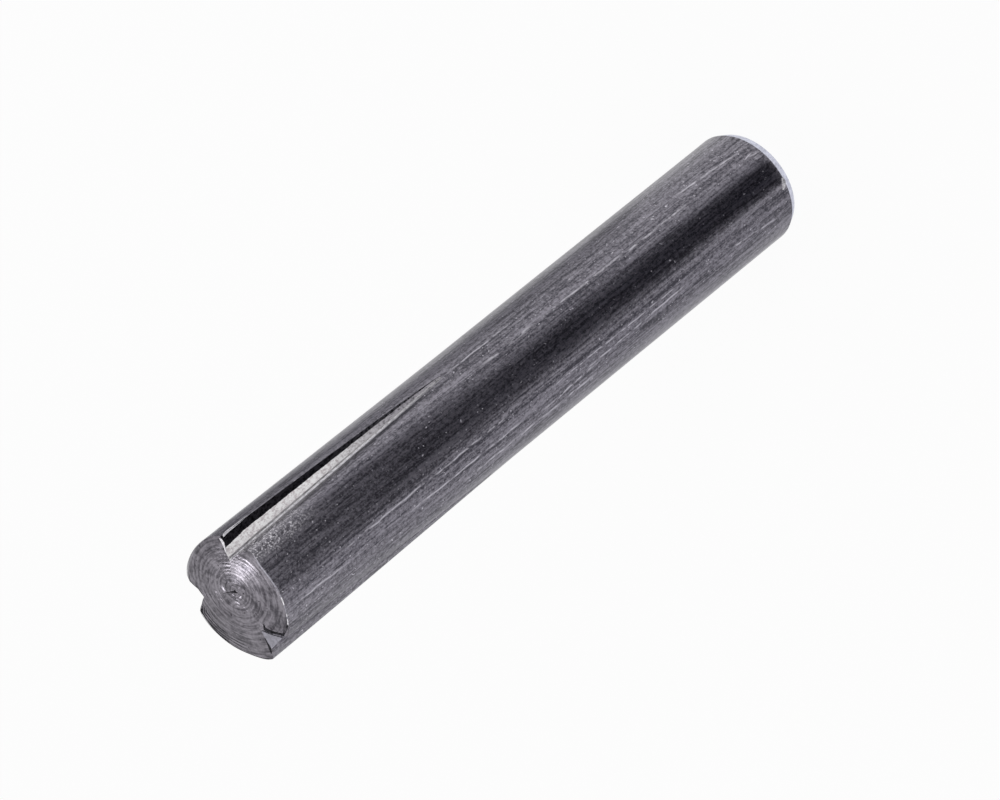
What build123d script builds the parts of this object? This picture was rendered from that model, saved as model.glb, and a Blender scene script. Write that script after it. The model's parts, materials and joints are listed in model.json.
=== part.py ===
from build123d import *
import math
import os

# Half-length taper grooved pin, in millimetres. The pin stands on its plain, chamfered
# end: the origin is the centre of that flat end and +Z runs up to the grooved end.

# Turned blank
diameter = 6.0
length = 40.0
foot_chamfer_radial = 0.20
foot_chamfer_axial = 0.40
crown_height = 0.25
rim_bevel_radial = 0.14
rim_bevel_axial = 0.10

# Three grooves are pressed in from the top end. They are deepest at the top, run out
# on the surface below it, and push up a lip of metal along both of their edges. The
# pin swells a little from just below the grooves up to the lips at the top end.
groove_count = 3
groove_length = 16.0
groove_depth = 0.95
groove_angle = 90.0
groove_root_radius = 0.12
first_groove_azimuth = 90.0
swell_length = 18.0
lip_height = 0.24

# How far the wedge that cuts a groove runs on past each end of it
wedge_overrun = 0.8

# Points on the outline of the swollen section, for each groove
points_per_lobe = 12

radius = diameter / 2
swell_start = length - swell_length
swollen_radius = radius + lip_height
outer_radius = swollen_radius + rim_bevel_radial


def groove_azimuths():
    """Direction of each groove about the axis, in degrees."""
    return [first_groove_azimuth + i * 360 / groove_count for i in range(groove_count)]


def swollen_outline(z):
    """Round section that rises in a smooth wave towards each groove, full at the top end."""
    count = points_per_lobe * groove_count
    points = []
    for i in range(count):
        turn = 2 * math.pi * i / count
        wave = (1 + math.cos(groove_count * turn)) / 2
        reach = radius + lip_height * wave
        azimuth = turn + math.radians(first_groove_azimuth)
        points.append((reach * math.cos(azimuth), reach * math.sin(azimuth), z))
    return make_face(Spline(points, periodic=True))


def shank():
    """Plain half of the pin, a true cylinder."""
    return extrude(Circle(radius), swell_start)


def swollen_half():
    """Upper half, which swells from the plain diameter to the lips at the top end."""
    lower = Plane.XY.offset(swell_start) * Circle(radius)
    return loft([lower.face(), swollen_outline(length)])


def turned_envelope():
    """Space left by the lathe: flat chamfered foot, bevelled rim and low crown on top."""
    reach = outer_radius
    foot_radius = radius - foot_chamfer_radial
    foot_slope = foot_chamfer_axial / foot_chamfer_radial
    foot_side = (reach - foot_radius) * foot_slope
    crown_edge_radius = radius - rim_bevel_radial
    crown_edge = length - crown_height
    rim_slope = rim_bevel_axial / rim_bevel_radial
    rim_side = crown_edge - (reach - crown_edge_radius) * rim_slope
    crown_radius = (crown_edge_radius**2 + crown_height**2) / (2 * crown_height)
    half_turn = math.asin(crown_edge_radius / crown_radius) / 2
    crown_middle = (
        crown_radius * math.sin(half_turn),
        length - crown_radius * (1 - math.cos(half_turn)),
    )
    with BuildLine(Plane.XZ) as outline:
        Polyline((0, length), (0, 0), (foot_radius, 0), (reach, foot_side))
        Line((reach, foot_side), (reach, rim_side))
        Line((reach, rim_side), (crown_edge_radius, crown_edge))
        ThreePointArc((crown_edge_radius, crown_edge), crown_middle, (0, length))
    return revolve(make_face(outline.wire()), Axis.Z)


def groove_cutter(azimuth):
    """Wedge with a rounded root that slopes out from the deep end to the surface."""
    half_angle = math.radians(groove_angle / 2)
    root = radius - groove_depth
    wing = (outer_radius - root) * math.tan(half_angle) + groove_depth
    rise = wing / math.tan(half_angle)
    wedge = Polygon((root, 0), (root + rise, wing), (root + rise, -wing), align=None)
    wedge = fillet(wedge.vertices().sort_by(Axis.X)[0], groove_root_radius)
    run = Vector(groove_depth, 0, -groove_length)
    past = wedge_overrun / groove_length
    above = Pos(-groove_depth * past, 0, length + wedge_overrun) * wedge
    cutter = extrude(above, run.length * (1 + 2 * past), dir=run)
    return Rot(0, 0, azimuth) * cutter


def grooved_pin():
    """The whole pin, turned first and then grooved."""
    body = (shank() + swollen_half()) & turned_envelope()
    for azimuth in groove_azimuths():
        body -= groove_cutter(azimuth)
    return body


os.makedirs("parts", exist_ok=True)
pin = grooved_pin()
pin.label = "grooved_pin"
export_step(pin, "parts/grooved_pin.step")
print("solids", len(pin.solids()), "faces", len(pin.faces()), "volume", round(pin.volume, 3))
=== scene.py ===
import json
import math

import bpy
from mathutils import Matrix, Vector, noise


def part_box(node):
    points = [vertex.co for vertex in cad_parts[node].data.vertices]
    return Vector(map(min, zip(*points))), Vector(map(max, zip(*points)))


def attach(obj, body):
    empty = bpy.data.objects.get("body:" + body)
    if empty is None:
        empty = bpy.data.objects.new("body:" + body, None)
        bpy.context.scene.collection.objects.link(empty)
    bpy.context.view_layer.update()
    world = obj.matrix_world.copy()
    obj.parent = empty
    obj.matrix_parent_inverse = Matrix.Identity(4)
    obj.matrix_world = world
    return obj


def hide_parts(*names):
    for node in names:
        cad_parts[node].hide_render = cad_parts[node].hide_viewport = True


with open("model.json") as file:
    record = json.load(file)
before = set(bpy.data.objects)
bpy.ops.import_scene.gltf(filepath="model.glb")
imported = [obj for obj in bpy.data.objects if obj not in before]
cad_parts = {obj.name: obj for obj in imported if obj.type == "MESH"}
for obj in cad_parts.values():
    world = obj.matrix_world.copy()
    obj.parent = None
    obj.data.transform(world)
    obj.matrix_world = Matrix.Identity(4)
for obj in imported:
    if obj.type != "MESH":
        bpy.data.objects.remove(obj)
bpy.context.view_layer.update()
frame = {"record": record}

# Shapes are worked out in millimetres, and MM turns them into metres at the end. Azimuths
# are in degrees from the pin's lower edge in the photo, which lies PHOTO_TURN before +X.
MM = 0.001
PHOTO_TURN = 38
mounts = {mount["name"]: mount for mount in frame["record"]["mounts"]}
RADIUS = mounts["plain_shank"]["dims"]["r_mm"]
SWELL_LENGTH = mounts["grooved_half"]["dims"]["length_mm"]
LOWEST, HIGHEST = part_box("grooved_pin")
LENGTH = HIGHEST[2] / MM
SWELL_START = LENGTH - SWELL_LENGTH

# Lathe work: chamfered foot, low crown, and a rim whose bevel is least at SHARP_RIM
FOOT_RADIAL = 0.20
FOOT_AXIAL = 0.46
CROWN_HEIGHT = 0.25
RIM_RADIAL = 0.14
RIM_AXIAL = 0.10
SHARP_RIM = 320
CROWN_EDGE = RADIUS - RIM_RADIAL
CROWN_RADIUS = (CROWN_EDGE**2 + CROWN_HEIGHT**2) / (2 * CROWN_HEIGHT)

# Metal pushed up beside the grooves: azimuth, height and width at the top end
SWELLS = (
    (113, 0.15, 10),
    (150, 0.25, 26),
    (219, 0.10, 15),
    (261, 0.165, 18),
    (345, 0.30, 17),
    (24, 0.04, 10),
)

# The three grooves. Root and lips give the azimuth where the groove runs out and at the
# top end. A wall is straight from its lip to a kink and on to the root, given as shares of
# its width and depth, and a bend above 1 makes its lip soft. A smaller flare widens the
# groove sooner. Mouth is how much nearer to the root the high wall's kink lies at the very
# top of the pin.
GROOVE_CUT = 16.0
GROOVES = (
    {
        "root": (133.0, 132.9),
        "low_lip": (126.0, 113.0),
        "high_lip": (135.0, 147.0),
        "depth": 0.78,
        "low_wall": (0.5, 0.5, 1.7),
        "high_wall": (0.18, 0.43, 1.0),
        "flare": 0.6,
        "mouth": 0.29,
    },
    {
        "root": (246.0, 238.0),
        "low_lip": (241.0, 221.0),
        "high_lip": (251.0, 261.0),
        "depth": 1.07,
        "low_wall": (0.45, 0.75, 1.0),
        "high_wall": (0.5, 0.62, 1.0),
        "flare": 0.78,
        "mouth": 0.0,
    },
    {
        "root": (365.0, 366.0),
        "low_lip": (359.0, 345.0),
        "high_lip": (371.0, 383.0),
        "depth": 1.13,
        "low_wall": (0.5, 0.28, 1.0),
        "high_wall": (0.38, 0.80, 1.0),
        "flare": 0.78,
        "mouth": 0.0,
    },
)

# How a wall's kink wanders along its groove: strength, waves to the millimetre, and seed
KINK_WANDER = ((0.05, 1.7, 3.0), (0.05, 4.0, 8.0))
LEAST_KINK = 0.03
MOUTH_LENGTH = 2.0

# Depth of the shallow hollows in the drawn surface
DIP_DEPTH = 0.008

# Mesh columns over a wall, as shares from lip to kink and from kink to root
LIP_TO_KINK = (0.0, 0.06, 0.35, 0.65, 0.96)
KINK_TO_ROOT = (0.03, 0.16, 0.30, 0.44, 0.56, 0.68, 0.82, 0.985)
SURFACE_COLUMNS = 60

# Mesh rows: over the flat foot and up its chamfer, as shares, up the side in even steps,
# and inwards over the top end between two shares of the rim
FOOT_SHARES = (0.15, 0.4, 0.7, 0.9, 0.985, 1.0)
CHAMFER_SHARES = (0.05, 0.35, 0.65, 0.95, 1.0)
SHANK_ROWS = 54
GROOVE_ROWS = 150
FACE_ROWS = 84
FACE_OUTER = 0.984
FACE_INNER = 0.011

# Turning marks on the top end. Their two centres are given as photo_place gives them: the
# lathe's pip, with a small pit in it, and a swirl in the middle, where the steel is torn.
PIP = (-0.35, 0.62)
PIT_DEPTH = 0.03
PIT_RADIUS = 0.06
SWIRL = (0.44, -0.10)
SWIRL_REACH = 0.95
RING_PITCH = 0.19
RING_DEPTH = 0.010
TEAR_DEPTH = 0.022

# Where the rim's bevel is painted paler as a highlight, as azimuths, and where that painted
# highlight stops being bright
RIM_GLINT = (34, 107)
RIM_GLINT_END = 80


def unit(azimuth):
    """Direction away from the axis at a photo azimuth, in the row frame."""
    turn = math.radians(azimuth - PHOTO_TURN)
    return Vector((math.cos(turn), math.sin(turn)))


def photo_place(x, y):
    """Place on the top end as the photo shows it: to the pin's lower edge, and to the camera."""
    point = Vector((x, y))
    return point.dot(unit(0)), point.dot(unit(90))


def ease(value, low, high):
    """Smooth step from 0 to 1."""
    share = min(max((value - low) / (high - low), 0.0), 1.0)
    return share * share * (3 - 2 * share)


def surface_reach(azimuth, z):
    """Distance from the axis to the drawn surface beside the grooves."""
    share = min(max((z - SWELL_START) / SWELL_LENGTH, 0.0), 1.0)
    swell = 0.0
    for centre, height, width in SWELLS:
        away = (azimuth - centre + 180) % 360 - 180
        swell += height * math.exp(-((away / width) ** 2))
    way = unit(azimuth)
    dip = 0.5 + 0.5 * noise.noise((way.x * 4, way.y * 4, z * 0.16))
    return RADIUS + share * swell - DIP_DEPTH * dip * ease(z, 0.4, 1.5)


def inside_box(reach, azimuth):
    """The reach, cut back where it would pass the CAD model's box."""
    way = unit(azimuth)
    for i in range(2):
        limit = (HIGHEST[i] if way[i] > 0 else -LOWEST[i]) / MM - 0.0005
        if abs(way[i]) * reach > limit:
            reach = limit / abs(way[i])
    return reach


def wall_depth(share, kink, kink_depth, bend):
    """Share of the groove's depth at a share of the way from lip to root."""
    if share < kink:
        depth = kink_depth * share / kink
    else:
        depth = kink_depth + (1 - kink_depth) * (share - kink) / (1 - kink)
    return depth**bend


def wall_columns(kink):
    """Shares of the way from lip to root at which a wall has its mesh columns."""
    upper = [kink * part for part in LIP_TO_KINK]
    lower = [kink + (1 - kink) * part for part in KINK_TO_ROOT]
    return upper + lower


def section(z):
    """Whole section at a height, as azimuths and reaches, with each wall's columns in place."""
    cut = min(max((z - LENGTH + GROOVE_CUT) / GROOVE_CUT, 0.0), 1.0)
    lips = []
    for groove in GROOVES:
        spread = cut ** groove["flare"]
        ends = (groove["low_lip"], groove["root"], groove["high_lip"])
        lips.append([first + (last - first) * spread for first, last in ends])
    points = []
    for number, groove in enumerate(GROOVES):
        low, root, high = lips[number]
        floor = RADIUS - groove["depth"] * cut
        walls = []
        for edge, wall in ((low, groove["low_wall"]), (high, groove["high_wall"])):
            kink, kink_depth, bend = wall
            if edge == high:
                kink += groove["mouth"] * ease(z, LENGTH - MOUTH_LENGTH, LENGTH)
            for strength, waves, seed in KINK_WANDER:
                kink += strength * noise.noise((z * waves, edge - root, seed))
            kink = max(kink, LEAST_KINK)
            side = []
            for share in wall_columns(kink):
                azimuth = edge + (root - edge) * share
                reach = surface_reach(azimuth, z)
                depth = wall_depth(share, kink, kink_depth, bend)
                side.append((azimuth, reach + (min(floor, reach) - reach) * depth * (cut > 0)))
            walls.append(side)
        bottom = min(floor, surface_reach(root, z))
        points += walls[0] + [(root, bottom)] + walls[1][::-1]
        following = lips[(number + 1) % len(lips)][0]
        if following < high:
            following += 360
        for i in range(SURFACE_COLUMNS):
            share = 0.005 + 0.99 * i / (SURFACE_COLUMNS - 1)
            azimuth = high + (following - high) * share
            points.append((azimuth, surface_reach(azimuth, z)))
    return [(azimuth, inside_box(reach, azimuth)) for azimuth, reach in points]


def place(azimuth, reach, z):
    """Corner of the mesh from its azimuth, reach and height."""
    way = unit(azimuth)
    return (way.x * reach, way.y * reach, z)


def strip_zones():
    """Finish of the strip after each mesh column, in the same order as the section."""
    lower = len(KINK_TO_ROOT)
    upper = len(LIP_TO_KINK)
    wall = lower + upper
    # Low walls, from lip to root. In the first groove the last two strips at the root are a
    # painted highlight.
    low_walls = (
        ["drawn"] * (wall - 4) + ["near"] * 2 + ["root"] * 2,
        ["drawn"] * wall,
        ["drawn"] * wall,
    )
    # High walls, from root to lip. The near-black dark strips above the kinks are painted shade.
    # In the first groove the root strips are a painted highlight, and the strips between kink and
    # root carry painted light.
    high_walls = (
        ["root"] * 2 + ["lit_strip"] + ["bared_and_lit"] * (lower - 3) + ["dark"] * upper + ["drawn"],
        ["pressed"] * lower + ["dark"] * upper + ["drawn"],
        ["dark"] * wall + ["drawn"],
    )
    zones = []
    for low, high in zip(low_walls, high_walls):
        zones += low + high + ["drawn"] * SURFACE_COLUMNS
    return zones


def lathe_height(x, y):
    """Height of the turned top end at a place on it, with less bevel on its sharp side."""
    reach = math.hypot(x, y)
    if reach <= CROWN_EDGE:
        return LENGTH - (CROWN_RADIUS - math.sqrt(CROWN_RADIUS**2 - reach**2))
    sharp = max(unit(SHARP_RIM).dot((x, y)) / reach, 0.0) ** 2
    slope = RIM_AXIAL / RIM_RADIAL * (1 - 0.9 * sharp)
    return LENGTH - CROWN_HEIGHT - (reach - CROWN_EDGE) * slope


def ring_wave(across, up, centre):
    """Turning marks about a centre, from 0 to 1, as one spiral that wanders a little."""
    dx, dy = across - centre[0], up - centre[1]
    reach = math.hypot(dx, dy)
    wander = 0.07 * noise.noise((across * 0.9, up * 0.9, centre[0]))
    phase = (reach + wander) / RING_PITCH + math.atan2(dy, dx) / (2 * math.pi)
    ridge = abs(2 * (phase - math.floor(phase)) - 1)
    patchy = noise.noise((across * 1.1, up * 1.1, 4.0))
    patchy += noise.noise((reach * 2.7, 7.0, centre[1]))
    return ridge * max(0.55 + 0.8 * patchy, 0.0)


def face_relief(x, y):
    """Depth of the marks below the crown: rings, torn and off centre in the middle."""
    across, up = photo_place(x, y)
    inner = math.hypot(across - SWIRL[0], up - SWIRL[1])
    blend = 1 - ease(inner, SWIRL_REACH * 0.8, SWIRL_REACH)
    rings = ring_wave(across, up, PIP) * (1 - blend) + ring_wave(across, up, SWIRL) * blend
    to_pip = math.hypot((across - PIP[0]) * 0.75, up - PIP[1])
    pit = PIT_DEPTH * math.exp(-((to_pip / PIT_RADIUS) ** 2))
    torn = TEAR_DEPTH * max(0.0, noise.noise((across * 3.2, up * 3.2, 1.0)))
    torn *= 1 - ease(math.hypot(across, up), 0.7, 1.5)
    smooth = 1 - 0.75 * ease(-across - 0.25 * up, 1.7, 2.1)
    return max(RING_DEPTH * rings * smooth + torn + pit, 0.0)


def pin_rows():
    """Rings of corners from the foot to the top."""
    foot_edge = RADIUS - FOOT_RADIAL
    base = section(0.0)
    rows = []
    for share in FOOT_SHARES:
        rows.append([place(a, r * share * foot_edge / RADIUS, 0.0) for a, r in base])
    for share in CHAMFER_SHARES:
        reach = (foot_edge + FOOT_RADIAL * share) / RADIUS
        rows.append([place(a, r * reach, FOOT_AXIAL * share) for a, r in base])
    for share in [0.001] + [(i + 1) / SHANK_ROWS for i in range(SHANK_ROWS)]:
        z = FOOT_AXIAL + (SWELL_START - FOOT_AXIAL) * share
        rows.append([place(a, r, z) for a, r in section(z)])
    rim = section(LENGTH - CROWN_HEIGHT)
    ends = [lathe_height(*(unit(a) * r)) for a, r in rim]
    top = min(ends)
    shares = [(i + 1) / GROOVE_ROWS for i in range(GROOVE_ROWS - 1)] + [0.9985, 1.0]
    for share in shares:
        z = SWELL_START + (top - SWELL_START) * share
        rise = ease(share, 0.96, 1.0)
        ring = section(z)
        rows.append([place(a, r, z + rise * (end - top)) for (a, r), end in zip(ring, ends)])
    rim = rows[-1]
    for i in range(FACE_ROWS):
        share = FACE_OUTER - (FACE_OUTER - FACE_INNER) * (i / FACE_ROWS)
        ring = []
        for x, y, _ in rim:
            qx, qy = x * share, y * share
            relief = face_relief(qx, qy) * ease(1 - share, 0.0, 0.04)
            ring.append((qx, qy, lathe_height(qx, qy) - relief))
        rows.append(ring)
    return rows


def rim_zone(corner):
    """Finish of the very edge of the top end: a painted highlight on its bevel, in broken
    stretches.
    """
    across, up = photo_place(corner[0], corner[1])
    azimuth = math.degrees(math.atan2(up, across))
    glint = noise.noise((azimuth * 0.31, 2.0, 5.0))
    glint += 0.6 * noise.noise((azimuth * 0.09, 7.0, 1.0))
    if not RIM_GLINT[0] < azimuth < RIM_GLINT[1] or glint < -0.3:
        return "face"
    return "edge" if glint > 0.05 and azimuth < RIM_GLINT_END else "pressed"


def build_pin(finishes):
    """The steel pin as one closed mesh, with each region's finish."""
    rows = pin_rows()
    count = len(rows[0])
    face_start = len(rows) - FACE_ROWS - 1
    foot_end = len(FOOT_SHARES) + len(CHAMFER_SHARES) - 1
    zones = strip_zones()
    names = list(finishes)
    corners = [(0.0, 0.0, 0.0)]
    for ring in rows:
        corners += ring
    corners.append((0.0, 0.0, LENGTH - face_relief(0.0, 0.0)))
    faces, slots = [], []
    for i in range(count):
        faces.append((0, 1 + (i + 1) % count, 1 + i))
        slots.append(names.index("foot"))
    for r in range(len(rows) - 1):
        a, b = 1 + r * count, 1 + (r + 1) * count
        for i in range(count):
            j = (i + 1) % count
            faces.append((a + i, a + j, b + j, b + i))
            level = rows[r][i][2]
            zone = zones[i] if LENGTH - GROOVE_CUT < level else "drawn"
            if r >= face_start:
                zone = rim_zone(rows[r][i]) if r == face_start else "face"
            elif r < foot_end:
                zone = "foot"
            slots.append(names.index(zone))
    last, peak = 1 + (len(rows) - 1) * count, len(corners) - 1
    for i in range(count):
        faces.append((last + i, last + (i + 1) % count, peak))
        slots.append(names.index("face"))
    mesh = bpy.data.meshes.new("pin_steel")
    mesh.from_pydata([Vector(corner) * MM for corner in corners], [], faces)
    for material in finishes.values():
        mesh.materials.append(material)
    mesh.polygons.foreach_set("material_index", slots)
    mesh.polygons.foreach_set("use_smooth", [True] * len(faces))
    mesh.update()
    piece = bpy.data.objects.new("pin_steel", mesh)
    bpy.context.scene.collection.objects.link(piece)
    return piece


def build_flake(name, first, second, thickness, material):
    """Thin flake of metal between two lines of points, as a closed mesh."""
    first = [Vector(point) for point in first]
    second = [Vector(point) for point in second]
    count = len(first)
    corners = []
    for i in range(count):
        along = first[min(i + 1, count - 1)] - first[max(i - 1, 0)]
        across = second[i] - first[i]
        lift = along.cross(across).normalized() * thickness / 2
        corners += [first[i] - lift, first[i] + lift, second[i] + lift, second[i] - lift]
    faces = [(0, 1, 2, 3)]
    for i in range(count - 1):
        a, b = 4 * i, 4 * i + 4
        for k in range(4):
            m = (k + 1) % 4
            faces.append((a + m, a + k, b + k, b + m))
    end = 4 * (count - 1)
    faces.append((end + 3, end + 2, end + 1, end))
    mesh = bpy.data.meshes.new(name)
    mesh.from_pydata([corner * MM for corner in corners], [], faces)
    mesh.materials.append(material)
    mesh.update()
    piece = bpy.data.objects.new(name, mesh)
    bpy.context.scene.collection.objects.link(piece)
    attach(piece, "root")


def add(tree, kind, **settings):
    """New shader node with its settings."""
    node = tree.nodes.new("ShaderNode" + kind)
    for name, value in settings.items():
        setattr(node, name, value)
    return node


def feed(tree, socket, value):
    """Give a socket its source or its plain value."""
    if isinstance(value, bpy.types.NodeSocket):
        tree.links.new(value, socket)
    else:
        socket.default_value = value


def calc(tree, operation, *values):
    """Result of a math node."""
    node = add(tree, "Math", operation=operation)
    for socket, value in zip(node.inputs, values):
        feed(tree, socket, value)
    return node.outputs[0]


def remap(tree, value, low, high, start=0.0, end=1.0):
    """Value taken smoothly from one range to another, and held at both ends."""
    node = add(tree, "MapRange", interpolation_type="SMOOTHSTEP")
    feed(tree, node.inputs["Value"], value)
    node.inputs["From Min"].default_value = low
    node.inputs["From Max"].default_value = high
    node.inputs["To Min"].default_value = start
    node.inputs["To Max"].default_value = end
    return node.outputs["Result"]


def grain(tree, across, along, detail=2.0, shift=0.0):
    """Noise with so many waves to the metre across and along the pin."""
    mapping = add(tree, "Mapping")
    mapping.inputs["Scale"].default_value = (across, across, along)
    mapping.inputs["Location"].default_value = (shift, shift, shift)
    tree.links.new(add(tree, "TexCoord").outputs["Object"], mapping.inputs["Vector"])
    texture = add(tree, "TexNoise")
    texture.inputs["Scale"].default_value = 1.0
    texture.inputs["Detail"].default_value = detail
    tree.links.new(mapping.outputs["Vector"], texture.inputs["Vector"])
    return texture.outputs[0]


def blend_sum(tree, parts, middle=0.5):
    """Sum of noises about their middle, each with its own strength."""
    total = middle - sum(strength * 0.5 for _, strength in parts)
    for part, strength in parts:
        total = calc(tree, "MULTIPLY_ADD", part, strength, total)
    return total


def tint(tree, share, dark, light):
    """Colour between two others."""
    node = add(tree, "Mix", data_type="RGBA")
    feed(tree, node.inputs[0], share)
    feed(tree, node.inputs[6], (*dark, 1.0) if isinstance(dark, tuple) else dark)
    feed(tree, node.inputs[7], (*light, 1.0) if isinstance(light, tuple) else light)
    return node.outputs[2]


def raise_bump(tree, shader, height, depth):
    """Fine relief on the shader's normal, as deep as given in metres."""
    node = add(tree, "Bump")
    node.inputs["Strength"].default_value = 1.0
    node.inputs["Distance"].default_value = depth
    tree.links.new(height, node.inputs["Height"])
    tree.links.new(node.outputs["Normal"], shader.inputs["Normal"])


def metal(name, roughness):
    """New bare metal, and its tree and shader."""
    material = bpy.data.materials.new(name)
    material.use_nodes = True
    shader = material.node_tree.nodes["Principled BSDF"]
    shader.inputs["Metallic"].default_value = 1.0
    shader.inputs["Roughness"].default_value = roughness
    return material, material.node_tree, shader


def side_place(tree):
    """Azimuth in degrees and height in millimetres of a point on the pin's side."""
    axes = add(tree, "SeparateXYZ")
    tree.links.new(add(tree, "TexCoord").outputs["Object"], axes.inputs[0])
    angle = calc(tree, "ARCTAN2", axes.outputs[1], axes.outputs[0])
    azimuth = calc(tree, "MULTIPLY_ADD", angle, 180 / math.pi, float(PHOTO_TURN))
    return azimuth, calc(tree, "MULTIPLY", axes.outputs[2], 1 / MM)


def line_mark(tree, azimuth, z, line):
    """Thin line along the pin, from its azimuths and heights at both ends and half width."""
    first, last, low, high, half = line
    drift = (last - first) / (high - low)
    target = calc(tree, "MULTIPLY_ADD", z, drift, first - low * drift)
    away = calc(tree, "ABSOLUTE", calc(tree, "SUBTRACT", azimuth, target))
    core = remap(tree, away, 0.0, half * 1.5, 1.0, 0.0)
    fade = min(1.5, (high - low) / 3)
    rise = remap(tree, z, low, low + fade)
    fall = remap(tree, z, high - fade, high, 1.0, 0.0)
    return calc(tree, "MULTIPLY", core, calc(tree, "MULTIPLY", rise, fall))


def all_marks(tree, azimuth, z, lines):
    """All of the lines together, each one as strong as the strongest there."""
    total = line_mark(tree, azimuth, z, lines[0])
    for line in lines[1:]:
        total = calc(tree, "MAXIMUM", total, line_mark(tree, azimuth, z, line))
    return total


# Lines that the photo shows on the side: azimuth and height at both ends, half width
BRIGHT_LINES = (
    (112.6, 113.2, 5.8, 11.8, 1.0),
    (114.2, 115.3, 10.8, 18.6, 1.0),
    (115.4, 115.0, 17.8, 22.6, 1.3),
    (64.0, 64.0, 22.4, 35.9, 0.8),
    (51.0, 51.0, 35.0, 39.6, 0.8),
    (49.5, 50.0, 21.5, 31.0, 0.9),
    (52.6, 48.3, 8.0, 17.8, 0.8),
    (43.0, 53.0, 1.2, 6.2, 0.9),
    (47.0, 43.0, 15.5, 21.0, 1.1),
    (132.0, 132.8, 18.5, 24.5, 0.8),
    (57.0, 58.0, 9.0, 20.0, 0.6),
    (36.0, 37.0, 16.0, 27.0, 1.2),
    (120.8, 127.5, 1.2, 6.5, 1.0),
    (103.0, 106.0, 0.6, 1.3, 0.7),
    (107.0, 105.0, 0.7, 1.5, 0.6),
    (108.5, 110.5, 0.6, 1.3, 0.7),
    (112.5, 110.5, 0.8, 1.7, 0.6),
)
DARK_LINES = (
    (122.0, 130.5, 0.4, 5.0, 1.1),
    (129.2, 121.5, 11.0, 15.0, 0.9),
    (77.0, 79.5, 0.5, 6.0, 1.0),
    (60.5, 61.5, 14.0, 30.0, 0.9),
    (44.0, 45.0, 6.0, 14.0, 1.1),
    (53.0, 54.0, 24.0, 38.0, 0.9),
    (28.0, 30.0, 18.0, 34.0, 1.6),
)


# The steel is torn beside the first groove's mouth, inside these azimuths and above this
# height, and the patch is also painted paler there as a painted highlight along the groove's
# low wall. Each pair gives where the patch starts to fade and where the fading ends.
TORN_SHEEN_LOW = (98, 108)
TORN_SHEEN_HIGH = (122, 127)
TORN_SHEEN_RISE = (34.0, 38.0)


def torn_and_sheen_patch(tree, azimuth, z):
    """1 where the side is torn, and painted paler as a highlight, beside the first groove's mouth,
    and 0 away from it.
    """
    low = remap(tree, azimuth, *TORN_SHEEN_LOW)
    high = remap(tree, azimuth, *TORN_SHEEN_HIGH, 1.0, 0.0)
    between = calc(tree, "MULTIPLY", low, high)
    return calc(tree, "MULTIPLY", between, remap(tree, z, *TORN_SHEEN_RISE))


def drawn_steel():
    """Bare drawn bar: dark grey and dull, with fine lines along it, mottle and specks, and a
    painted highlight over the torn patch.
    """
    material, tree, shader = metal("drawn_steel", 0.3)
    fine = grain(tree, 11000, 300)
    middle = grain(tree, 3600, 60)
    broad = grain(tree, 1000, 26)
    mottle = grain(tree, 7500, 4200, 3.0)
    pepper = grain(tree, 14000, 10000, 1.0)
    tone = blend_sum(
        tree,
        ((fine, 1.2), (middle, 0.8), (broad, 0.6), (mottle, 1.2), (pepper, 0.9)),
        0.46,
    )
    azimuth, z = side_place(tree)
    wander = grain(tree, 60, 900, 1.0, 3.0)
    wavy = calc(tree, "MULTIPLY_ADD", wander, 4.0, calc(tree, "SUBTRACT", azimuth, 2.0))
    breaks = remap(tree, grain(tree, 5000, 1700, 3.0, 5.0), 0.36, 0.60)
    bright = calc(tree, "MULTIPLY", all_marks(tree, wavy, z, BRIGHT_LINES), breaks)
    dark = calc(tree, "MULTIPLY", all_marks(tree, wavy, z, DARK_LINES), breaks)
    tone = calc(tree, "SUBTRACT", tone, calc(tree, "MULTIPLY", dark, 0.45))
    share = remap(tree, tone, 0.0, 1.0)
    colour = tint(tree, share, (0.068, 0.065, 0.079), (0.318, 0.303, 0.345))
    specks = remap(tree, grain(tree, 7500, 6500, 1.0, 9.0), 0.70, 0.78)
    lit = calc(tree, "MAXIMUM", bright, specks)
    colour = tint(tree, lit, colour, (0.66, 0.64, 0.70))
    # Paler tint over the torn patch: a painted highlight
    torn = torn_and_sheen_patch(tree, azimuth, z)
    colour = tint(tree, calc(tree, "MULTIPLY", torn, 0.45), colour, (0.46, 0.44, 0.48))
    flecks = grain(tree, 13000, 9000, 2.0, 12.0)
    pits = calc(tree, "MULTIPLY", torn, remap(tree, flecks, 0.38, 0.46, 0.5, 0.0))
    colour = tint(tree, pits, colour, (0.02, 0.019, 0.025))
    sparks = calc(tree, "MULTIPLY", torn, remap(tree, flecks, 0.53, 0.66))
    colour = tint(tree, sparks, colour, (0.80, 0.78, 0.82))
    tree.links.new(colour, shader.inputs["Base Color"])
    lit = calc(tree, "MAXIMUM", lit, sparks)
    rough = remap(tree, pepper, 0.3, 0.7, 0.29, 0.35)
    tree.links.new(calc(tree, "MULTIPLY_ADD", lit, 0.25, rough), shader.inputs["Roughness"])
    height = blend_sum(tree, ((fine, 0.6), (mottle, 0.6), (pepper, 0.6), (middle, 0.8)))
    raise_bump(tree, shader, height, 0.000004)
    return material


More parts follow.
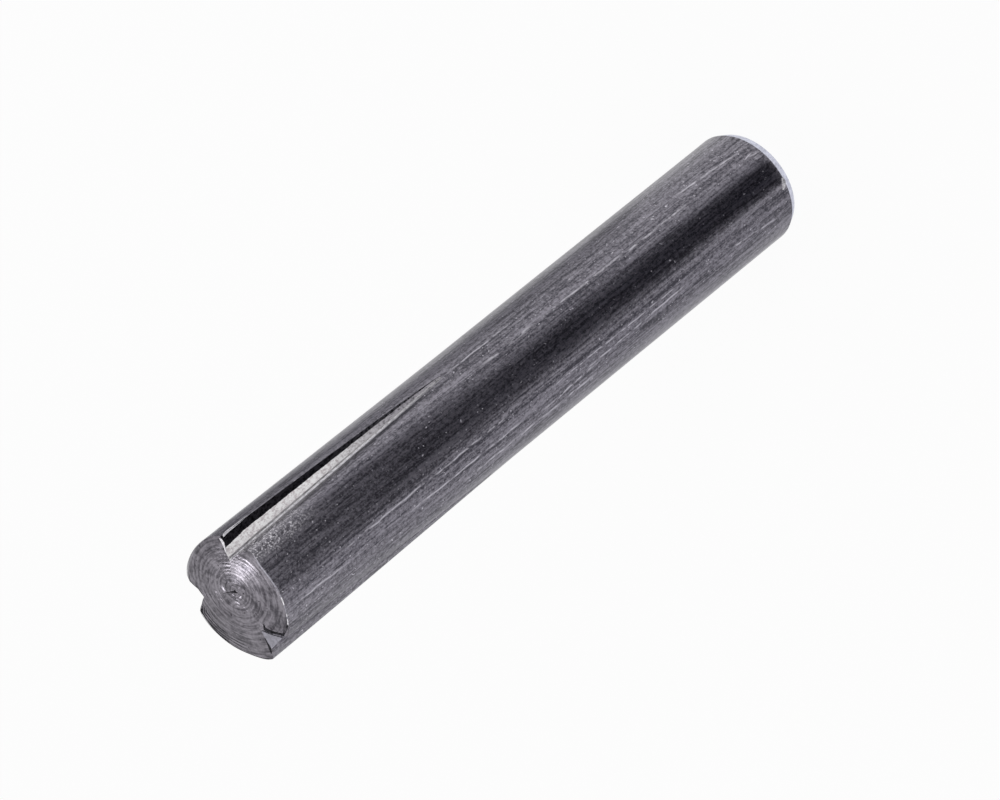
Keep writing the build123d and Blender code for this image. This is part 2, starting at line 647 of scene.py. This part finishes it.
def ring_grain(tree, centre, across, round_share):
    """Noise drawn out along circles about a centre on the top end."""
    middle = unit(0) * centre[0] + unit(90) * centre[1]
    axes = add(tree, "SeparateXYZ")
    tree.links.new(add(tree, "TexCoord").outputs["Object"], axes.inputs[0])
    x = calc(tree, "SUBTRACT", axes.outputs[0], middle.x * MM)
    y = calc(tree, "SUBTRACT", axes.outputs[1], middle.y * MM)
    square = calc(tree, "ADD", calc(tree, "MULTIPLY", x, x), calc(tree, "MULTIPLY", y, y))
    reach = calc(tree, "SQRT", square)
    join = add(tree, "CombineXYZ")
    feed(tree, join.inputs[0], calc(tree, "MULTIPLY", reach, across))
    feed(tree, join.inputs[1], calc(tree, "MULTIPLY", x, round_share))
    feed(tree, join.inputs[2], calc(tree, "MULTIPLY", y, round_share))
    texture = add(tree, "TexNoise")
    texture.inputs["Scale"].default_value = 1.0
    texture.inputs["Detail"].default_value = 2.0
    tree.links.new(join.outputs[0], texture.inputs["Vector"])
    return texture.outputs[0]


def turned_end():
    """Turned end, paler than the side, with fine rings, dark smears and a few pits."""
    material, tree, shader = metal("turned_end", 0.3)
    rings = ring_grain(tree, PIP, 9000, 700)
    inner = ring_grain(tree, SWIRL, 8000, 900)
    smear = grain(tree, 1500, 1500, 3.0)
    mottle = grain(tree, 6500, 6500, 2.0, 4.0)
    tone = blend_sum(tree, ((rings, 1.6), (inner, 0.7), (smear, 1.0), (mottle, 0.9)), 0.52)
    share = remap(tree, tone, 0.0, 1.0)
    colour = tint(tree, share, (0.060, 0.056, 0.066), (0.245, 0.230, 0.258))
    pits = remap(tree, grain(tree, 4200, 4200, 1.0, 2.0), 0.24, 0.30, 1.0, 0.0)
    colour = tint(tree, pits, colour, (0.05, 0.045, 0.055))
    tree.links.new(colour, shader.inputs["Base Color"])
    rough = remap(tree, smear, 0.3, 0.7, 0.14, 0.20)
    tree.links.new(rough, shader.inputs["Roughness"])
    height = blend_sum(tree, ((rings, 1.0), (inner, 0.25), (mottle, 0.12)))
    raise_bump(tree, shader, height, 0.000006)
    return material


def pressed_steel(name, dark, light, roughness):
    """Steel mottled between two tones, as bared by the groove tool and the lathe; its paler uses
    also carry painted light.
    """
    material, tree, shader = metal(name, roughness)
    mottle = grain(tree, 6000, 2500, 3.0, 1.0)
    fine = grain(tree, 12000, 2500, 1.0, 6.0)
    tone = blend_sum(tree, ((mottle, 2.0), (fine, 1.2)))
    colour = tint(tree, remap(tree, tone, 0.0, 1.0), dark, light)
    tree.links.new(colour, shader.inputs["Base Color"])
    raise_bump(tree, shader, mottle, 0.000004)
    return material


def fading_flank(name, metallic, span, thin_end, mouth):
    """Wall of a groove, mottled between two tones, that change over a span of heights."""
    material, tree, shader = metal(name, 0.5)
    shader.inputs["Metallic"].default_value = metallic
    mottle = grain(tree, 6500, 4500, 3.0, 1.0)
    pepper = grain(tree, 14000, 9000, 1.0, 6.0)
    tone = remap(tree, blend_sum(tree, ((mottle, 2.6), (pepper, 1.8)), 0.62), 0.0, 1.0)
    _, z = side_place(tree)
    share = remap(tree, z, *span)
    colour = tint(tree, share, tint(tree, tone, *thin_end), tint(tree, tone, *mouth))
    tree.links.new(colour, shader.inputs["Base Color"])
    raise_bump(tree, shader, mottle, 0.000006)
    return material


finishes = {
    "drawn": drawn_steel(),
    "face": turned_end(),
    # Foot and chamfer: paler lathe-cut steel, made paler still as a painted reflection of the pale
    # surroundings behind the foot
    "foot": pressed_steel("foot_chamfer_painted_reflection", (0.50, 0.51, 0.60), (0.70, 0.71, 0.82), 0.45),
    # Wall below the first groove's kink: paler bared steel, made matt and near white toward the
    # mouth as painted light on that wall
    "bared_and_lit": fading_flank(
        "bared_and_lit_flank",
        0.0,
        (26.5, 34.0),
        ((0.09, 0.085, 0.10), (0.36, 0.34, 0.38)),
        ((0.64, 0.59, 0.61), (1.0, 0.99, 1.0)),
    ),
    # Line at the first groove's root: a painted highlight, matt and pale, fading toward the
    # groove's thin end
    "root": fading_flank(
        "root_painted_highlight",
        0.0,
        (24.0, 30.0),
        ((0.12, 0.115, 0.13), (0.40, 0.39, 0.42)),
        ((0.50, 0.49, 0.52), (0.86, 0.85, 0.88)),
    ),
    "near": fading_flank(
        "near_flank",
        0.0,
        (24.0, 30.0),
        ((0.12, 0.115, 0.13), (0.30, 0.29, 0.32)),
        ((0.26, 0.255, 0.28), (0.50, 0.49, 0.53)),
    ),
    # Strip beside the first groove's root line: painted light, part of the lit band on that wall
    "lit_strip": pressed_steel("lit_strip_flank", (0.28, 0.27, 0.28), (0.58, 0.56, 0.58), 0.45),
    "pressed": pressed_steel("pressed_flank", (0.26, 0.255, 0.29), (0.36, 0.35, 0.40), 0.55),
    # Near-black finish: painted shade on the groove walls that face away from the light, darkest
    # at the deep mouth, and on the thin sheets of the cracks and the tear
    "dark": fading_flank(
        "painted_shade_flank",
        1.0,
        (25.0, 33.0),
        ((0.01, 0.01, 0.012), (0.13, 0.125, 0.14)),
        ((0.003, 0.003, 0.004), (0.030, 0.028, 0.034)),
    ),
    # Pale edge finish: bare metal of the burrs, and a painted highlight on the rolled lip and on
    # the rim's bevel
    "edge": pressed_steel("bare_edge_and_highlight", (0.55, 0.54, 0.57), (0.88, 0.86, 0.90), 0.4),
}
pin = build_pin(finishes)
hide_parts("grooved_pin")
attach(pin, "root")


def face_point(across, up, lift):
    """Point a little above the top end, from its place there as the photo shows it."""
    spot = unit(0) * across + unit(90) * up
    return (spot.x, spot.y, min(lathe_height(*spot) + lift, LENGTH - 0.001))


# Flake torn up at the mouth of the first groove, along the end of its upper wall, and the
# lip that was rolled over beside it. Both are pale bare metal, and the rolled lip's brightness
# is a painted highlight on its curved edge.
build_flake(
    "mouth_burr",
    (
        face_point(-1.96, 1.82, 0.01),
        face_point(-2.13, 1.90, 0.01),
        face_point(-2.35, 1.92, 0.02),
        face_point(-2.56, 1.86, 0.04),
    ),
    (
        face_point(-1.98, 1.79, 0.02),
        face_point(-2.17, 1.83, 0.02),
        face_point(-2.43, 1.79, 0.02),
        face_point(-2.69, 1.74, 0.06),
    ),
    0.03,
    finishes["edge"],
)
build_flake(
    "rolled_lip",
    (
        place(145.2, 3.14, 39.38),
        place(145.2, 3.17, 39.20),
        place(145.4, 3.18, 38.96),
        place(145.7, 3.18, 38.55),
        place(145.9, 3.18, 38.10),
        place(146.0, 3.18, 37.60),
    ),
    (
        place(146.8, 3.22, 39.34),
        place(147.4, 3.245, 39.12),
        place(147.5, 3.245, 38.88),
        place(147.3, 3.24, 38.52),
        place(147.0, 3.235, 38.09),
        place(146.6, 3.22, 37.55),
    ),
    0.02,
    finishes["edge"],
)

# Metal torn open across the middle of the top end, drawn as a thin near-black sheet: painted shade
# of the tear
build_flake(
    "centre_tear_shade",
    (
        face_point(-0.60, -0.22, 0.004),
        face_point(-0.54, 0.10, 0.004),
        face_point(-0.46, 0.37, 0.004),
        face_point(-0.36, 0.62, 0.004),
        face_point(-0.22, 0.73, 0.004),
    ),
    (
        face_point(-0.59, -0.23, 0.004),
        face_point(-0.52, 0.08, 0.004),
        face_point(-0.42, 0.33, 0.004),
        face_point(-0.28, 0.54, 0.004),
        face_point(-0.19, 0.69, 0.004),
    ),
    0.006,
    finishes["dark"],
)

# Metal smeared over the mouth of the third groove, with the cracks along it. The cracks are thin
# near-black sheets: painted shade of the gaps.
build_flake(
    "mouth_flap",
    (face_point(1.87, 0.24, 0.00), face_point(2.28, 0.55, 0.0), face_point(2.69, 0.92, 0.0)),
    (face_point(1.85, 0.20, 0.00), face_point(2.30, -0.02, 0.0), face_point(2.78, -0.24, 0.0)),
    0.05,
    finishes["pressed"],
)
build_flake(
    "upper_crack_shade",
    (
        face_point(1.66, 0.66, 0.012),
        face_point(1.85, 0.55, 0.012),
        face_point(2.05, 0.66, 0.012),
        face_point(2.42, 0.99, 0.012),
        face_point(2.55, 1.15, 0.012),
        face_point(2.36, 1.76, 0.012),
    ),
    (
        face_point(1.68, 0.62, 0.012),
        face_point(1.86, 0.38, 0.012),
        face_point(2.08, 0.47, 0.012),
        face_point(2.46, 0.88, 0.012),
        face_point(2.68, 1.08, 0.012),
        face_point(2.44, 1.76, 0.012),
    ),
    0.01,
    finishes["dark"],
)
build_flake(
    "lower_crack_shade",
    (
        face_point(2.24, -0.02, 0.012),
        face_point(2.44, -0.10, 0.012),
        face_point(2.64, -0.18, 0.012),
        face_point(2.96, -0.55, 0.012),
    ),
    (
        face_point(2.22, -0.06, 0.012),
        face_point(2.40, -0.17, 0.012),
        face_point(2.57, -0.30, 0.012),
        face_point(2.92, -0.60, 0.012),
    ),
    0.01,
    finishes["dark"],
)

# Small burr at the edge of the foot
build_flake(
    "foot_burr",
    (place(75.0, 3.01, 0.58), place(71.0, 3.02, 0.70), place(65.6, 3.01, 0.86)),
    (place(74.6, 3.06, 0.46), place(69.4, 3.08, 0.50), place(64.8, 3.03, 0.78)),
    0.03,
    finishes["edge"],
)


# The camera looks at the pin as the photo does: from above, with the grooved end nearest and
# at the lower left. TILT is the angle between the pin's axis and the picture, PHOTO_AXIS the
# axis's slope in the picture, and NEAR_END the top end's centre as seen from the camera.
PHOTO_WIDTH = 1000
FOCAL_PX = 7500
SENSOR = 36.0
TILT = math.radians(38.04)
PHOTO_AXIS = math.radians(39.08)
NEAR_END = Vector((-12.250, -9.282, -344.03))


def place_camera():
    """Camera with the pin's top centre at its measured place in the frame."""
    outward = unit(90).to_3d()
    along = Vector((0, 0, -1)) * math.cos(TILT) + outward * math.sin(TILT)
    back = Vector((0, 0, 1)) * math.sin(TILT) + outward * math.cos(TILT)
    across = along.cross(back)
    right = along * math.cos(PHOTO_AXIS) + across * math.sin(PHOTO_AXIS)
    up = along * math.sin(PHOTO_AXIS) - across * math.cos(PHOTO_AXIS)
    basis = Matrix((right, up, back)).transposed()
    camera = bpy.data.objects.new("camera", bpy.data.cameras.new("camera"))
    camera.data.sensor_width = SENSOR
    camera.data.lens = FOCAL_PX * SENSOR / PHOTO_WIDTH
    camera.data.clip_start = 0.01
    spot = (Vector((0, 0, LENGTH)) - basis @ NEAR_END) * MM
    camera.matrix_world = Matrix.Translation(spot) @ basis.to_4x4()
    bpy.context.scene.collection.objects.link(camera)
    bpy.context.scene.camera = camera


def area_light(name, azimuth, elevation, distance, size, power):
    """Softbox aimed at the pin, by its direction in degrees in the row frame."""
    a, e = math.radians(azimuth), math.radians(elevation)
    way = Vector((math.cos(a) * math.cos(e), math.sin(a) * math.cos(e), math.sin(e)))
    data = bpy.data.lights.new(name, "AREA")
    data.shape = "RECTANGLE"
    data.size, data.size_y = size
    data.energy = power
    lamp = bpy.data.objects.new(name, data)
    lamp.location = way * distance + Vector((0, 0, LENGTH * MM / 2))
    lamp.rotation_mode = "QUATERNION"
    lamp.rotation_quaternion = way.to_track_quat("Z", "Y")
    bpy.context.scene.collection.objects.link(lamp)


def seen_directly(tree):
    """1 for the camera, for reflections and through glass, and 0 for soft light."""
    path = add(tree, "LightPath")
    seen = calc(tree, "MAXIMUM", path.outputs["Is Camera Ray"], path.outputs["Is Glossy Ray"])
    return calc(tree, "MAXIMUM", seen, path.outputs["Is Transmission Ray"])


def stage_sheet(name, corners):
    """Sheet of the stage, from its corners in millimetres, and its shader tree."""
    mesh = bpy.data.meshes.new(name)
    mesh.from_pydata([Vector(corner) * MM for corner in corners], [], [range(len(corners))])
    sheet = bpy.data.objects.new(name, mesh)
    bpy.context.scene.collection.objects.link(sheet)
    material = bpy.data.materials.new(name)
    material.use_nodes = True
    material.node_tree.nodes.clear()
    mesh.materials.append(material)
    return sheet, material.node_tree


def pale_floor():
    """Plain floor, white to the camera and in reflections, that keeps the pin's shadow."""
    reach = 2000
    corners = [(-reach, -reach, 0), (reach, -reach, 0), (reach, reach, 0), (-reach, reach, 0)]
    _, tree = stage_sheet("floor", corners)
    diffuse = add(tree, "BsdfDiffuse")
    diffuse.inputs["Color"].default_value = (0.9, 0.9, 0.9, 1)
    white = add(tree, "Emission")
    mix = add(tree, "MixShader")
    feed(tree, mix.inputs[0], calc(tree, "MULTIPLY", seen_directly(tree), 0.93))
    tree.links.new(diffuse.outputs[0], mix.inputs[1])
    tree.links.new(white.outputs[0], mix.inputs[2])
    tree.links.new(mix.outputs[0], add(tree, "OutputMaterial").inputs["Surface"])


def world_light():
    """White surroundings for the camera and for reflections, softer for the floor."""
    world = bpy.data.worlds.new("studio")
    bpy.context.scene.world = world
    world.use_nodes = True
    tree = world.node_tree
    background = tree.nodes["Background"]
    background.inputs["Color"].default_value = (1, 1, 1, 1)
    soft = 0.6
    level = calc(tree, "MULTIPLY_ADD", seen_directly(tree), 1 - soft, soft)
    tree.links.new(level, background.inputs["Strength"])


def mirrored(azimuth, z):
    """Place on the floor that the photo's camera sees mirrored in a point of the side."""
    start = unit(azimuth) * RADIUS
    return start + unit(2 * azimuth - 90) * (z / math.tan(TILT))


def reflection_card(name, corners, colour):
    """Card seen only in reflections."""
    card, tree = stage_sheet(name, corners)
    card.visible_camera = False
    card.visible_diffuse = False
    card.visible_shadow = False
    card.visible_transmission = False
    glow = add(tree, "Emission")
    glow.inputs["Color"].default_value = (*colour, 1)
    tree.links.new(glow.outputs[0], add(tree, "OutputMaterial").inputs["Surface"])


def floor_card(name, low_edge, high_edge, colour):
    """Card just above the floor, as mirrored between two lines on the pin's side."""
    points = [mirrored(*spot) for spot in low_edge] + [mirrored(*spot) for spot in high_edge[::-1]]
    reflection_card(name, [(*point, 0.02) for point in points], colour)


def standing_card(name, azimuth, width):
    """Dark upright card that the pin's side mirrors in low views. The angles are in radians."""
    away, bottom, top = 250, 1, 110
    first = Vector((math.cos(azimuth - width / 2), math.sin(azimuth - width / 2))) * away
    last = Vector((math.cos(azimuth + width / 2), math.sin(azimuth + width / 2))) * away
    corners = [(*first, bottom), (*last, bottom), (*last, top), (*first, top)]
    reflection_card(name, corners, (0.06, 0.06, 0.07))


# The dark band along the pin is a black card mirrored in its side, with a grey wing above
# it. Two more grey cards take a little light from the pin's lower edge and from beside the
# first groove. Every edge is a line on the side, as azimuths and heights.
BAND_LOW = ((71.6, 0.5), (71.6, 22), (69.5, 30), (69.5, 60))
BAND_HIGH = (
    (98.0, 0.5),
    (98.5, 6),
    (99.5, 15),
    (103.0, 21),
    (106.0, 30),
    (108.0, 38),
    (110.0, 60),
)
WING = tuple((azimuth + 7, z) for azimuth, z in BAND_HIGH)
LOWER_LOW = ((12, 0.5), (12, 60))
LOWER_HIGH = ((66, 0.5), (66, 60))
UPPER_LOW = ((141, 8), (141, 30), (146, 38), (146, 60))
UPPER_HIGH = ((153, 8), (156, 30), (166, 38), (169, 60))

place_camera()
pale_floor()
world_light()
floor_card("front_card", BAND_LOW, BAND_HIGH, (0.05, 0.05, 0.065))
floor_card("front_wing", BAND_HIGH, WING, (0.5, 0.5, 0.52))
floor_card("lower_card", LOWER_LOW, LOWER_HIGH, (0.74, 0.74, 0.76))
floor_card("upper_card", UPPER_LOW, UPPER_HIGH, (0.32, 0.32, 0.34))
standing_card("left_card", math.radians(125), 0.7)
standing_card("back_card", math.radians(238), 0.5)
standing_card("right_card", math.radians(345), 0.6)

# The key is narrow, so that it shows in the turning marks as a wedge
area_light("key", 225.5, 53, 0.3, (0.012, 0.07), 0.023)
area_light("top", 52, 75, 0.4, (0.3, 0.3), 0.15)
area_light("fill", 66, 35, 0.5, (0.25, 0.25), 0.35)
bpy.context.scene.view_settings.view_transform = "Standard"
